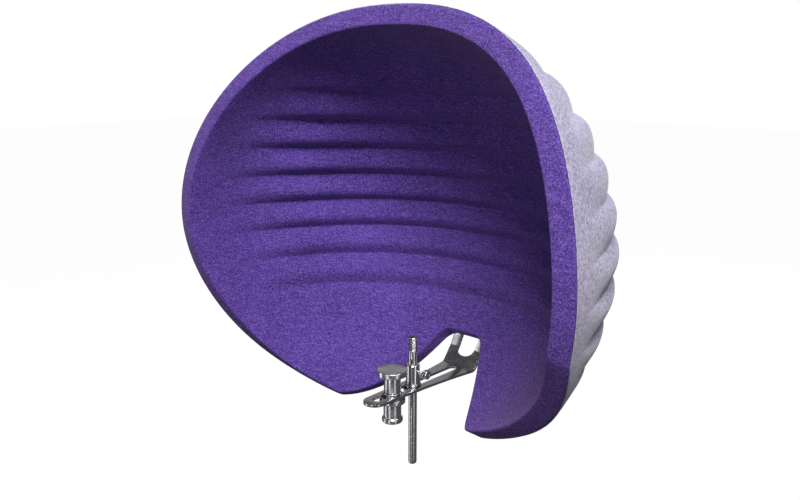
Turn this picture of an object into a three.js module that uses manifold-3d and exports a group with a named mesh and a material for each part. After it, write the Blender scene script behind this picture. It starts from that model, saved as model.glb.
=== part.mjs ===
import * as THREE from "three";
import { mergeVertices } from "three/addons/utils/BufferGeometryUtils.js";
import Module from "manifold-3d";

// A moulded felt reflection filter: a deep ribbed dome, open towards -Y, carried by a slotted
// steel arm that a knob clamps on a stand adapter, with a sliding post for the microphone.
// Millimetres, +Z up. The origin is the centre of the stand adapter's bottom face.

const wasm = await Module();
wasm.setup();

// ---------------------------------------------------------------- driving dimensions

const gap = 0.3; // between pieces that touch
const slideFit = 0.05; // round a shaft that slides or turns in its hole

// The dome's outer face: |x/halfWidth|^plan + |(y - centreY)/depth|^plan + |height/reach|^power = 1
const dome = {
  centreZ: 204.6,
  centreY: -169.8,
  lean: 0.036, // how far the centre line moves back per millimetre of height
  halfWidth: 275.4,
  depth: 364.3,
  plan: 2.31,
  crown: 263.6,
  crownPower: 1.94,
  foot: 258.6,
  footPower: 1.84,
};
const wall = 22.4; // felt thickness at the rim
const skin = 4; // the grey outer felt
const skinEdge = 0.8; // what the outer felt thins to along its edge

// The rim's plane curve: y as a cubic in the height over rim.per
const rim = { front: -78.9, tilt: -11.3, sweep: 128.4, skew: -9.4, per: 275 };

// Horizontal ribs, counted down from the highest groove that is plain to see
const rib = { groove: 330.4, pitch: 37.9, first: -2 };
rib.crest = 0.62; // where the inner crest stands, as a share of the pitch below its groove
rib.inner = 10; // how far a crest stands in from its groove
rib.outer = 7; // height of a scallop on the outer face
rib.outerRise = 0.8; // the share of it that lies below the smooth face
const ribFade = { rimStart: 15, rimEnd: 85, topStart: 432, topEnd: 345, lowStart: 48, lowEnd: 122 };

// The arch in the lower back, and the two lobes beside it
const arch = { headroom: 32, corner: 9 };
const lobeBlendTop = 150;

// Stand adapter and clamp, all round the Z axis
const adapter = { bore: 7.94, boreDepth: 14, wall: 1.91, ringProud: 1.75, ringHeight: 6.2 };
adapter.flangeProud = 4.45;
adapter.flangeHeight = 5;
adapter.floor = 2.5; // solid between the bore and the stud's hole
const stud = { radius: 3.9, aboveArm: 20 };
const guide = { disc: 1.7, keyLength: 17, inset: 0.7 }; // inset: under the adapter's flange
const knob = { radius: 17, rim: 6.2, neck: 9.3, aboveArm: 27.7, washerProud: 1.3 };
knob.washerHeight = 1.6;

// Support arm: a bent plate
const arm = { thickness: 3, top: 33, slotFront: -29, slotRear: 110 };
arm.bar = 7.2; // steel left on each side of the slot at the front end
arm.frontLand = 11; // and in front of it
arm.bendY = 116;
arm.bendHalf = 23.2;
arm.rise = 48; // degrees, just behind the bend
arm.bendRadius = 7;
arm.topHalf = 25;
arm.reach = 20; // plate above the seat's centre, along the plate
const windowCut = { low: 8, high: 19, half: 12, corner: 9 };
const seat = { height: 108, boltX: 12.5, flatStart: 40, flatEnd: 70 };
const corners = { tail: 10, flare: 6, plan: 0.6 };
const bolt = { radius: 3, head: 5.5, headHeight: 3.3, length: 19, washer: 6.6, washerHeight: 1.4 };
const backing = { width: 56, height: 30, thickness: 2, pocket: 9.6 };
const weldNut = { across: 10, height: 6 };

// Microphone post and its collar
const post = { y: 33.7, radius: 4.7625, top: 89.6, bottom: -63, thread: 16, chamfer: 1 };
post.threadDepth = 0.4;
const slotPlay = 0.54; // between the post and each side of the arm's slot
const collar = { wall: 3.04, height: 24.5, flangeProud: 1.5, flangeHeight: 2.4, legWall: 2.94 };
collar.nutProud = 2.9;
collar.nutHeight = 2.2;
const thumb = { aboveArm: 17, stem: 1.9, head: 5.3, headProud: 9.4, headLength: 6 };

// Radii and heights that follow from the ones above
adapter.body = adapter.bore + adapter.wall;
adapter.ring = adapter.body + adapter.ringProud;
adapter.flange = adapter.body + adapter.flangeProud;
guide.radius = adapter.flange - guide.inset;
stud.top = arm.top + stud.aboveArm;
knob.top = arm.top + knob.aboveArm;
knob.washer = knob.neck + knob.washerProud;
arm.slot = 2 * (post.radius + slotPlay);
arm.tip = arm.slot / 2 + arm.bar;
arm.front = arm.slotFront - arm.frontLand;
collar.radius = post.radius + collar.wall;
collar.flange = collar.radius + collar.flangeProud;
collar.spigot = post.radius + collar.legWall;
collar.nut = collar.spigot + collar.nutProud;
collar.top = arm.top + collar.height;
thumb.height = arm.top + thumb.aboveArm;
thumb.headStart = collar.radius + thumb.headProud;

// The felt is trimmed wider on the left lobe and narrower on the right one
const left = { tipX: 98, tipZ: -3, straight: 0, power: 6, archTop: 22, archFoot: 60, flare: 4.5 };
const right = { tipX: 103, tipZ: 3, straight: 0.5, power: 4, archTop: 37, archFoot: 77, flare: 3 };
const lobeFlat = { share: 0.35, from: 106, to: 15 }; // how level the wall's thickness runs in a lobe

// How finely the felt is divided
const grid = { lobeColumns: 10, midColumns: 2, crownRows: 5, lobeRows: 9 };
grid.ribRows = [0, 0.4, 0.7];

// ---------------------------------------------------------------- colours

const felt = (colour) => new THREE.MeshStandardMaterial({ color: colour, roughness: 0.95 });
const steel = (colour, roughness) =>
  new THREE.MeshStandardMaterial({ color: colour, roughness, metalness: 1 });

const group = new THREE.Group();

function add(name, geometry, material, parent = group) {
  const mesh = new THREE.Mesh(geometry, material);
  mesh.name = name;
  parent.add(mesh);
  return mesh;
}

// ---------------------------------------------------------------- solids and cuts

function toSolid(geometry) {
  const plain = geometry.clone();
  plain.deleteAttribute("normal");
  plain.deleteAttribute("uv");
  const merged = mergeVertices(plain, 1e-4);
  return new wasm.Manifold(
    new wasm.Mesh({
      numProp: 3,
      vertProperties: merged.attributes.position.array,
      triVerts: new Uint32Array(merged.index.array),
    }),
  );
}

function fromSolid(solid) {
  const mesh = solid.getMesh();
  const geometry = new THREE.BufferGeometry();
  geometry.setAttribute("position", new THREE.BufferAttribute(mesh.vertProperties, 3));
  geometry.setIndex(new THREE.BufferAttribute(mesh.triVerts, 1));
  geometry.computeVertexNormals();
  return geometry;
}

const cut = (body, ...tools) =>
  fromSolid(tools.reduce((rest, tool) => rest.subtract(toSolid(tool)), toSolid(body)));

// A turned piece round the Z axis, from [radius, height] pairs that run up the outside.
function turned(profile, segments = 32) {
  const points = profile.map(([r, z]) => new THREE.Vector2(r, z));
  return new THREE.LatheGeometry(points, segments).rotateX(Math.PI / 2);
}

// A plain round bar along Z from low to high.
function bar(radius, low, high, segments = 32) {
  return turned([[0, low], [radius, low], [radius, high], [0, high]], segments);
}

function box(width, length, height) {
  return new THREE.BoxGeometry(width, length, height);
}

const smooth = (from, to, value) => {
  const t = Math.min(1, Math.max(0, (value - from) / (to - from)));
  return t * t * (3 - 2 * t);
};

// Halves an interval until the rising function changes sign in it.
function root(low, high, rising) {
  for (let i = 0; i < 60; i++) {
    const middle = (low + high) / 2;
    if (rising(middle) > 0) high = middle;
    else low = middle;
  }
  return (low + high) / 2;
}

// ---------------------------------------------------------------- the dome's faces

const isAbove = (z) => z > dome.centreZ;
const reach = (z) => (isAbove(z) ? dome.crown : dome.foot);
const power = (z) => (isAbove(z) ? dome.crownPower : dome.footPower);
const centreY = (z) => dome.centreY + dome.lean * (z - dome.centreZ);

// What is left of the plan section at this height, as the plan's own power.
const sectionShare = (z) => 1 - Math.abs((z - dome.centreZ) / reach(z)) ** power(z);

function rimY(z) {
  const s = (z - dome.centreZ) / rim.per;
  return rim.front + rim.tilt * s + rim.sweep * s ** 2 + rim.skew * s ** 3;
}

// Half width of the opening at this height.
function rimX(z) {
  const left = sectionShare(z) - ((rimY(z) - centreY(z)) / dome.depth) ** dome.plan;
  return dome.halfWidth * Math.max(left, 0) ** (1 / dome.plan);
}

// The angle, seen from above at the dome's centre line, of the outer face at half width x.
function angleAt(x, z) {
  const left = sectionShare(z) - (x / dome.halfWidth) ** dome.plan;
  return Math.atan2(x, dome.depth * Math.max(left, 0) ** (1 / dome.plan));
}

function outward(point) {
  const back = point.y - centreY(point.z);
  const up = point.z - dome.centreZ;
  const slope = (value, size, p) =>
    (Math.sign(value) * p * Math.abs(value / size) ** (p - 1)) / size;
  const y = slope(back, dome.depth, dome.plan);
  return new THREE.Vector3(
    slope(point.x, dome.halfWidth, dome.plan),
    y,
    slope(up, reach(point.z), power(point.z)) - y * dome.lean,
  ).normalize();
}

// The way the wall's thickness runs: along the normal, but more level down in the lobes.
function wallDirection(point) {
  const direction = outward(point);
  const low = smooth(lobeFlat.from, lobeFlat.to, point.z);
  direction.z *= 1 - (1 - lobeFlat.share) * low;
  return direction.normalize();
}

// A point of the smooth outer face.
function facePoint(angle, z) {
  const across = Math.abs(Math.sin(angle) / dome.halfWidth) ** dome.plan;
  const along = Math.abs(Math.cos(angle) / dome.depth) ** dome.plan;
  const radius = (sectionShare(z) / (across + along)) ** (1 / dome.plan);
  return new THREE.Vector3(radius * Math.sin(angle), centreY(z) + radius * Math.cos(angle), z);
}

const archTop = arm.top + arch.headroom;
const crownTop = root(dome.centreZ, dome.centreZ + dome.crown, (z) => {
  return ((rimY(z) - centreY(z)) / dome.depth) ** dome.plan - sectionShare(z);
});

// A round end: 0 until late, then square to the edge as t reaches 1.
const roundEnd = (t, p) => 1 - Math.sqrt(Math.max(0, 1 - t ** p));

// Half width of the felt's outer boundary: the rim, drawn in to the lobe's tip low down.
function outerHalf(z, side) {
  const t = Math.max(0, (lobeBlendTop - z) / (lobeBlendTop - side.tipZ));
  const drawn = side.straight * t ** 1.3 + (1 - side.straight) * roundEnd(t, side.power);
  return rimX(z) - (rimX(side.tipZ) - side.tipX) * drawn;
}

// Half width of the arch: a round-cornered head, a straight flank and a flare to the lobe's tip.
function archHalf(z, side) {
  const t = Math.max(0, (archTop - z) / (archTop - side.tipZ));
  const flare = (side.tipX - side.archFoot) * roundEnd(t, side.flare);
  const flank = side.archTop + (side.archFoot - side.archTop) * t + flare;
  const up = Math.max(0, 1 - (archTop - z) / arch.corner);
  return flank - arch.corner * roundEnd(Math.min(1, up), 2);
}

// ---------------------------------------------------------------- ribs

const ribPhase = (z) => {
  const count = (rib.groove - z) / rib.pitch;
  return count - Math.floor(count);
};

// 0 at the sharp groove, 1 at the round crest.
function innerWave(z) {
  const bend = Math.log(0.5) / Math.log(rib.crest);
  return Math.sin(Math.PI * ribPhase(z) ** bend);
}

// 0 in the sharp outer valley, which lies behind the inner crest, and 1 on the scallop.
function outerWave(z) {
  const phase = (ribPhase(z) - rib.crest + 1) % 1;
  const bend = Math.log(0.5) / Math.log(1 - rib.crest);
  return Math.sin(Math.PI * phase ** bend);
}

// Ribs die away towards the rim, the crown and the lobes.
function ribShare(angle, z) {
  const side = angle < 0 ? left : right;
  const toRim = (angleAt(outerHalf(z, side), z) - Math.abs(angle)) * dome.halfWidth;
  const top = smooth(ribFade.topStart, ribFade.topEnd, z);
  const low = smooth(ribFade.lowStart, ribFade.lowEnd, z);
  return smooth(ribFade.rimStart, ribFade.rimEnd, toRim) * top * low;
}

// The outer face is left smooth where the arm is bolted on.
function seatShare(point) {
  return smooth(seat.flatStart, seat.flatEnd, Math.hypot(point.x, point.z - seat.height));
}

const outerOffset = (angle, z, point) =>
  rib.outer * (outerWave(z) - rib.outerRise) * ribShare(angle, z) * seatShare(point);
const innerOffset = (angle, z) => -wall - rib.inner * innerWave(z) * ribShare(angle, z);
const skinOffset = (angle, z, point, isEdge) =>
  outerOffset(angle, z, point) - (isEdge ? skinEdge : skin);

// ---------------------------------------------------------------- felt sheets

// Each row's level on the left side and on the right one.
function feltRows() {
  const rows = [];
  const firstGroove = rib.groove - rib.first * rib.pitch;
  for (let i = 0; i < grid.crownRows; i++)
    rows.push(crownTop - (crownTop - firstGroove) * (i / grid.crownRows) ** 2);
  const last = Math.floor((rib.groove - archTop) / rib.pitch);
  for (let k = rib.first; k <= last; k++)
    for (const phase of grid.ribRows) rows.push(rib.groove - (k + phase) * rib.pitch);
  const fullRows = rows.filter((z) => z > archTop + 4).map((z) => [z, z]);
  for (let i = 0; i <= grid.lobeRows; i++) {
    const share = (1 - Math.cos((Math.PI * i) / grid.lobeRows)) / 2;
    fullRows.push([left, right].map((side) => archTop - (archTop - side.tipZ) * share));
  }
  return fullRows;
}

// The angle and level of each column in one row: right lobe, middle, left lobe.
function feltColumns(levels) {
  const { lobeColumns, midColumns } = grid;
  const [lefts, rights] = [left, right].map((side, i) => {
    const z = levels[i];
    const outer = angleAt(outerHalf(z, side), z);
    const atTop = angleAt(outerHalf(archTop, side), archTop);
    const share = angleAt(archHalf(archTop, side), archTop) / atTop;
    const inner = z <= archTop ? angleAt(archHalf(z, side), z) : outer * share;
    const sign = side === left ? -1 : 1;
    const column = (_, j) => [sign * (outer + ((inner - outer) * j) / lobeColumns), z];
    return Array.from({ length: lobeColumns + 1 }, column);
  });
  const [from, z] = rights[lobeColumns];
  const across = lefts[lobeColumns][0] - from;
  const centre = [];
  for (let j = 1; j < midColumns; j++) centre.push([from + (across * j) / midColumns, z]);
  return [...rights, ...centre, ...lefts.reverse()];
}

// A closed sheet of felt between two faces, each given as an offset from the smooth outer face.
function feltSheet(highOffset, lowOffset) {
  const rows = feltRows();
  const { lobeColumns: side, midColumns: middle } = grid;
  const last = 2 * side + middle;
  const corners = [];
  const known = new Map();
  const corner = (point) => {
    const key = point.toArray().map((value) => value.toFixed(4)).join();
    if (!known.has(key)) known.set(key, corners.push(point) - 1);
    return known.get(key);
  };
  const inArch = (j) => j > side && j < side + middle;
  const nodes = rows.map((levels, i) =>
    feltColumns(levels).map(([angle, z], j) => {
      const below = z < archTop - 1e-6;
      const onArch = z < archTop + 1e-6 && j >= side && j <= side + middle;
      const isEdge = i === 0 || i === rows.length - 1 || j === 0 || j === last || onArch;
      if (below && inArch(j)) return null;
      const point = facePoint(angle, z);
      const through = wallDirection(point);
      const at = (offset) => corner(through.clone().multiplyScalar(offset).add(point));
      return [at(highOffset(angle, z, point, isEdge)), at(lowOffset(angle, z, point, isEdge))];
    }),
  );
  const triangles = [];
  const edges = new Map();
  const face = (a, b, c) => {
    const flat = new Set([a[0], b[0], c[0]]).size < 3;
    if (flat) return;
    triangles.push(a[0], b[0], c[0], a[1], c[1], b[1]);
    for (const [from, to] of [[a, b], [b, c], [c, a]]) edges.set(`${from[0]},${to[0]}`, [from, to]);
  };
  for (let i = 0; i + 1 < rows.length; i++)
    for (let j = 0; j < last; j++) {
      const quad = [nodes[i][j], nodes[i + 1][j], nodes[i + 1][j + 1], nodes[i][j + 1]];
      const isOpen = rows[i + 1][0] < archTop - 1e-6 && j >= side && j < side + middle;
      if (isOpen || quad.includes(null)) continue;
      const [a, b, c, d] = quad;
      if (j < side + middle / 2) {
        face(a, b, c);
        face(a, c, d);
      } else {
        face(a, b, d);
        face(b, c, d);
      }
    }
  for (const [from, to] of edges.values())
    if (!edges.has(`${to[0]},${from[0]}`))
      triangles.push(from[0], from[1], to[0], to[0], from[1], to[1]);
  const geometry = new THREE.BufferGeometry();
  geometry.setAttribute(
    "position",
    new THREE.Float32BufferAttribute(corners.flatMap((point) => point.toArray()), 3),
  );
  geometry.setIndex(triangles);
  return geometry;
}

// ---------------------------------------------------------------- where the arm meets the dome

const seatPoint = facePoint(0, seat.height);
const seatNormal = outward(seatPoint);
const seatTurn = Math.atan2(seatNormal.z, seatNormal.y);

// Pieces at the seat are drawn with +Y along the seat's outward normal.
const seatGroup = new THREE.Group();
seatGroup.position.copy(seatPoint);
seatGroup.rotation.x = seatTurn;
group.add(seatGroup);
seatGroup.updateMatrixWorld(true);

const atSeat = (geometry) => geometry.applyMatrix4(seatGroup.matrixWorld);
const alongSeat = (geometry) => geometry.rotateX(-Math.PI / 2); // +Z becomes +Y
const boltSides = [["left", -seat.boltX], ["right", seat.boltX]];

const boltHole = (x, radius, low, high) =>
  atSeat(alongSeat(bar(radius, low, high, 20)).translate(x, 0, 0));

const plateOut = gap; // the arm's inner face, out from the seat
const armOut = plateOut + arm.thickness;

// How far the rounded face falls away from the flat seat at the backing plate's corners.
function seatSag() {
  const z = seat.height - backing.height / 2;
  const corner = facePoint(angleAt(backing.width / 2, z), z);
  return seatPoint.clone().sub(corner).dot(seatNormal);
}
const pocketTop = -skin - seatSag() - 2 * gap;

function innerLiner() {
  const pocket = box(backing.width + 2 * gap, backing.pocket + skin, backing.height + 2 * gap);
  pocket.translate(0, pocketTop + skin - (backing.pocket + skin) / 2, 0);
  return cut(feltSheet((...place) => skinOffset(...place) - gap, innerOffset), atSeat(pocket));
}

function outerSkin() {
  const holes = boltSides.map(([, x]) => boltHole(x, bolt.radius + gap, -skin - 2, 4));
  return cut(feltSheet(outerOffset, skinOffset), ...holes);
}

add("inner_liner", innerLiner(), felt(0x4b3287));
add("outer_skin", outerSkin(), felt(0xafacc8));

const zinc = () => steel(0x9a9aa2, 0.4);
const plate = box(backing.width, backing.thickness, backing.height);
plate.translate(0, pocketTop - gap - backing.thickness / 2, 0);
const plateIn = pocketTop - gap - backing.thickness;
const plateHoles = boltSides.map(([, x]) =>
  alongSeat(bar(bolt.radius + gap, plateIn - 1, 1, 20)).translate(x, 0, 0),
);
add("backing_plate", cut(plate, ...plateHoles), zinc(), seatGroup);

function nutBlank(across, low, high) {
  const corner = across / Math.sqrt(3);
  return turned([[0, low], [corner, low], [corner, high], [0, high]], 6);
}
for (const [side, x] of boltSides) {
  const nutTop = plateIn - gap;
  const blank = nutBlank(weldNut.across, nutTop - weldNut.height, nutTop);
  const bore = bar(bolt.radius + gap, nutTop - weldNut.height - 1, nutTop + 1, 20);
  add(`weld_nut_${side}`, alongSeat(cut(blank, bore)), zinc(), seatGroup).position.x = x;
}

const brushed = () => steel(0xb9b6bc, 0.3);
for (const [side, x] of boltSides) {
  const low = armOut + gap;
  const high = low + bolt.washerHeight;
  const ring = cut(
    bar(bolt.washer, low, high, 24),
    bar(bolt.radius + gap, low - 1, high + 1, 20),
  );
  add(`arm_washer_${side}`, alongSeat(ring), brushed(), seatGroup).position.x = x;
  const under = high + gap;
  const key = nutBlank(4, under + bolt.headHeight - 2, under + bolt.headHeight + 1);
  const shank = turned([
    [0, under - bolt.length],
    [bolt.radius - 0.5, under - bolt.length],
    [bolt.radius, under - bolt.length + 0.6],
    [bolt.radius, under],
    [bolt.head, under],
    [bolt.head, under + bolt.headHeight * 0.35],
    [bolt.head * 0.6, under + bolt.headHeight],
    [0, under + bolt.headHeight],
  ], 24);
  add(`arm_bolt_${side}`, alongSeat(cut(shank, key)), brushed(), seatGroup).position.x = x;
}

// ---------------------------------------------------------------- support arm

// Side view of the plate's middle line: flat, up at arm.rise, then along the dome's seat.
function armSide() {
  const flat = arm.top - arm.thickness / 2;
  const out = plateOut + arm.thickness / 2;
  const upSeat = new THREE.Vector2(-seatNormal.z, seatNormal.y);
  const onSeat = new THREE.Vector2(seatPoint.y, seatPoint.z).add(
    new THREE.Vector2(seatNormal.y, seatNormal.z).multiplyScalar(out),
  );
  const rise = THREE.MathUtils.degToRad(arm.rise);
  const upRise = new THREE.Vector2(Math.cos(rise), Math.sin(rise));
  const bend = new THREE.Vector2(arm.bendY, flat);
  // Where the rising stretch meets the seat's line.
  const along = onSeat.clone().sub(bend).cross(upSeat) / upRise.cross(upSeat);
  const knee = upRise.clone().multiplyScalar(along).add(bend);
  const top = upSeat.clone().multiplyScalar(arm.reach).add(onSeat);
  return [new THREE.Vector2(arm.front - 5, flat), bend, knee, top];
}

// Rounds the corners of an open line and returns it as points with their left-hand normals.
function roundedLine(points, radius, steps = 5) {
  const line = [];
  for (let i = 0; i < points.length; i++) {
    const before = points[i - 1] ?? points[i];
    const after = points[i + 1] ?? points[i];
    const inward = points[i].clone().sub(before).normalize();
    const away = after.clone().sub(points[i]).normalize();
    const isEnd = i === 0 || i === points.length - 1;
    const turn = isEnd ? 0 : Math.atan2(inward.cross(away), inward.dot(away));
    const start = isEnd && i === 0 ? away : inward;
    const cutBack = radius * Math.tan(Math.abs(turn) / 2);
    const from = points[i].clone().addScaledVector(start, isEnd ? 0 : -cutBack);
    const normal = new THREE.Vector2(-start.y, start.x);
    const centre = from.clone().addScaledVector(normal, radius);
    const count = isEnd ? 0 : steps;
    for (let j = 0; j <= count; j++) {
      const spin = count ? (turn * j) / count : 0;
      const lean = normal.clone().rotateAround(new THREE.Vector2(), spin);
      const at = isEnd ? points[i].clone() : centre.clone().addScaledVector(lean, -radius);
      line.push({ at, normal: lean });
    }
  }
  return line;
}

// A hole with round ends, as a path for a shape.
function slotPath(half, low, high) {
  const path = new THREE.Path();
  path.moveTo(half, low + half);
  path.lineTo(half, high - half);
  path.absarc(0, high - half, half, 0, Math.PI, false);
  path.lineTo(-half, low + half);
  path.absarc(0, low + half, half, Math.PI, 2 * Math.PI, false);
  return path;
}

function supportArm() {
  const [, bend, knee, top] = armSide();
  const half = arm.thickness / 2;
  const line = roundedLine(armSide(), arm.bendRadius);
  const above = line.map(({ at, normal }) => at.clone().addScaledVector(normal, half));
  const below = line.map(({ at, normal }) => at.clone().addScaledVector(normal, -half));
  const side = new THREE.Shape([...below, ...above.reverse()]);
  const width = 2 * arm.topHalf + 20;
  const strip = new THREE.ExtrudeGeometry(side, { depth: width, bevelEnabled: false });
  strip.translate(0, 0, -width / 2);
  // The side view's axes are Y and Z, so the strip's depth becomes X.
  strip.applyMatrix4(new THREE.Matrix4().set(0, 0, 1, 0, 1, 0, 0, 0, 0, 1, 0, 0, 0, 0, 0, 1));

  const tipY = arm.front + arm.tip;
  const endY = top.x + half;
  const corner = corners.tail;
  const plan = new THREE.Shape();
  plan.moveTo(arm.tip, tipY);
  plan.quadraticCurveTo(arm.tip + corners.plan, arm.bendY / 2, arm.bendHalf, bend.x);
  plan.lineTo(arm.topHalf, knee.x + corners.flare);
  plan.lineTo(arm.topHalf, endY - corner);
  plan.quadraticCurveTo(arm.topHalf, endY, arm.topHalf - corner, endY);
  plan.lineTo(corner - arm.topHalf, endY);
  plan.quadraticCurveTo(-arm.topHalf, endY, -arm.topHalf, endY - corner);
  plan.lineTo(-arm.topHalf, knee.x + corners.flare);
  plan.lineTo(-arm.bendHalf, bend.x);
  plan.quadraticCurveTo(-arm.tip - corners.plan, arm.bendY / 2, -arm.tip, tipY);
  plan.absarc(0, tipY, arm.tip, Math.PI, 2 * Math.PI, false);
  plan.holes.push(slotPath(arm.slot / 2, arm.slotFront, arm.slotRear));

  // The window between the two prongs: from behind the bend to below the bolts.
  const low = bend.x + windowCut.low;
  const high = seatPoint.y - windowCut.high * Math.abs(seatNormal.z);
  const { half: side2, corner: round } = windowCut;
  const opening = new THREE.Path();
  opening.moveTo(side2, low + round);
  opening.lineTo(side2, high - round / 2);
  opening.quadraticCurveTo(side2, high, side2 - round, high);
  opening.lineTo(round - side2, high);
  opening.quadraticCurveTo(-side2, high, -side2, high - round / 2);
  opening.lineTo(-side2, low + round);
  opening.quadraticCurveTo(-side2, low, 0, low);
  opening.quadraticCurveTo(side2, low, side2, low + round);
  plan.holes.push(opening);

  const tall = new THREE.ExtrudeGeometry(plan, { depth: 200, bevelEnabled: false, curveSegments: 10 });
  tall.translate(0, 0, arm.top - 40);
  const holes = boltSides.map(([, x]) => toSolid(boltHole(x, bolt.radius + gap, -2, armOut + 3)));
  const shaped = toSolid(strip).intersect(toSolid(tall));
  return fromSolid(holes.reduce((rest, hole) => rest.subtract(hole), shaped));
}

add("support_arm", supportArm(), steel(0x8d8a92, 0.28));

// ---------------------------------------------------------------- stand adapter and clamp

const armUnder = arm.top - arm.thickness;
const discTop = armUnder - gap;
const discLow = discTop - guide.disc;
const adapterTop = discLow - gap;

function standAdapter() {
  const { bore, boreDepth, body, ring, ringHeight, flange, flangeHeight } = adapter;
  const edge = 1.2;
  const flangeLow = adapterTop - flangeHeight;
  const studHole = stud.radius + gap;
  const studFloor = boreDepth + adapter.floor;
  return turned([
    [0, boreDepth],
    [bore, boreDepth],
    [bore, 0.6],
    [bore + 0.6, 0],
    [ring - edge, 0],
    [ring, edge],
    [ring, ringHeight - edge],
    [ring - edge, ringHeight],
    [body, ringHeight],
    [body, flangeLow - 1],
    [body + 1, flangeLow],
    [flange - 0.6, flangeLow],
    [flange, flangeLow + 0.6],
    [flange, adapterTop - 0.6],
    [flange - 0.6, adapterTop],
    [studHole, adapterTop],
    [studHole, studFloor],
    [0, studFloor],
  ]);
}
add("stand_adapter", standAdapter(), steel(0xa8a5ab, 0.3));

const studLow = adapter.boreDepth + adapter.floor + gap;
const clampStud = turned([
  [0, studLow],
  [stud.radius, studLow],
  [stud.radius, stud.top - 1],
  [stud.radius - 1, stud.top],
  [0, stud.top],
], 24);
add("clamp_stud", clampStud, zinc());

// A disc under the arm with a key that fills the slot, so that the arm slides on it and it turns
// round the stud.
function slotGuide() {
  const keyTop = arm.top - gap;
  const disc = turned([
    [0, discLow],
    [guide.radius, discLow],
    [guide.radius, discTop],
    [0, discTop],
  ]);
  const outline = new THREE.Shape();
  outline.curves = slotPath(arm.slot / 2 - gap, -guide.keyLength / 2, guide.keyLength / 2).curves;
  const depth = keyTop - discLow - 0.5;
  const key = new THREE.ExtrudeGeometry(outline, { depth, bevelEnabled: false, curveSegments: 8 });
  key.translate(0, 0, discLow + 0.5);
  const bore = bar(stud.radius + slideFit, discLow - 1, keyTop + 1, 24);
  return fromSolid(toSolid(disc).add(toSolid(key)).subtract(toSolid(bore)));
}
add("slot_guide", slotGuide(), zinc());

const washerLow = arm.top + gap;
const washerTop = washerLow + knob.washerHeight;
const knobWasher = turned([
  [stud.radius + gap, washerLow],
  [knob.washer, washerLow],
  [knob.washer, washerTop - 0.6],
  [knob.washer - 0.8, washerTop],
  [stud.radius + gap, washerTop],
  [stud.radius + gap, washerLow],
]);
add("knob_washer", knobWasher, brushed());

// The knob's bore is deep enough for the stud when the knob is down.
function clampKnob() {
  const low = washerTop + gap;
  const rimLow = knob.top - knob.rim;
  const bore = stud.radius + slideFit;
  return turned([
    [0, stud.top + 1],
    [bore, stud.top + 1],
    [bore, low],
    [knob.neck, low],
    [knob.neck, rimLow - 1],
    [knob.neck + 1.4, rimLow],
    [knob.radius - 1, rimLow],
    [knob.radius, rimLow + 1],
    [knob.radius, knob.top - 0.9],
    [knob.radius - 0.9, knob.top],
    [0, knob.top],
  ]);
}
add("clamp_knob", clampKnob(), steel(0x96939b, 0.25));

// ---------------------------------------------------------------- microphone post and collar

const postGroup = new THREE.Group();
postGroup.position.y = post.y;
group.add(postGroup);

const micPost = turned([
  [0, post.bottom],
  [post.radius - post.chamfer, post.bottom],
  [post.radius, post.bottom + post.chamfer],
  [post.radius, post.top - post.thread],
  [post.radius - post.threadDepth, post.top - post.thread],
  [post.radius - post.threadDepth, post.top - 0.8],
  [post.radius - 1.2, post.top],
  [0, post.top],
], 28);
add("mic_post", micPost, steel(0xc9c6cc, 0.2), postGroup);

// The collar stands on the arm. Two legs, before and behind the post, go down through the slot
// to the nut.
function postCollar() {
  const low = arm.top + gap;
  const legLow = armUnder - gap - collar.nutHeight;
  const bore = post.radius + slideFit;
  const sleeve = turned([
    [bore, low],
    [collar.flange, low],
    [collar.flange, low + collar.flangeHeight - 0.6],
    [collar.radius, low + collar.flangeHeight],
    [collar.radius, collar.top - 0.8],
    [collar.radius - 0.8, collar.top],
    [bore, collar.top],
    [bore, low],
  ]);
  const legs = turned([
    [bore, legLow],
    [collar.spigot, legLow],
    [collar.spigot, low + 1],
    [bore, low + 1],
    [bore, legLow],
  ]);
  const slotWide = box(arm.slot - 2 * gap, 4 * collar.spigot, 4 * arm.thickness);
  slotWide.translate(0, 0, low + 1 - 2 * arm.thickness);
  const relief = box(4 * collar.spigot, bore, 4 * arm.thickness);
  relief.translate(0, 0, low - 2 * arm.thickness);
  const twoLegs = toSolid(legs).intersect(toSolid(slotWide)).subtract(toSolid(relief));
  const screwHole = bar(thumb.stem + gap, 0, 2 * collar.radius, 16);
  screwHole.rotateY(Math.PI / 2).translate(0, 0, thumb.height);
  return fromSolid(toSolid(sleeve).add(twoLegs).subtract(toSolid(screwHole)));
}
add("post_collar", postCollar(), steel(0xb4b1b7, 0.25), postGroup);

const nutHigh = armUnder - gap;
const collarNut = turned([
  [collar.spigot + gap, nutHigh - collar.nutHeight],
  [collar.nut, nutHigh - collar.nutHeight],
  [collar.nut, nutHigh],
  [collar.spigot + gap, nutHigh],
  [collar.spigot + gap, nutHigh - collar.nutHeight],
]);
add("collar_nut", collarNut, zinc(), postGroup);

// The thumb screw points at the post from the +X side. Drawn along +Z from its tip.
function thumbScrew() {
  const tip = post.radius + gap;
  const end = thumb.headStart + thumb.headLength;
  const screw = turned([
    [0, tip],
    [thumb.stem - 0.5, tip],
    [thumb.stem, tip + 0.6],
    [thumb.stem, thumb.headStart],
    [thumb.head - 0.8, thumb.headStart],
    [thumb.head, thumb.headStart + 0.8],
    [thumb.head, end - 0.8],
    [thumb.head - 0.8, end],
    [0, end],
  ], 24);
  return screw.rotateY(Math.PI / 2);
}
add("thumb_screw", thumbScrew(), steel(0xb9b6bc, 0.3), postGroup).position.z = thumb.height;

export default group;
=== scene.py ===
from math import pi, radians

import bmesh
import bpy
import numpy as np
from mathutils import Euler, Matrix, Vector


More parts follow.
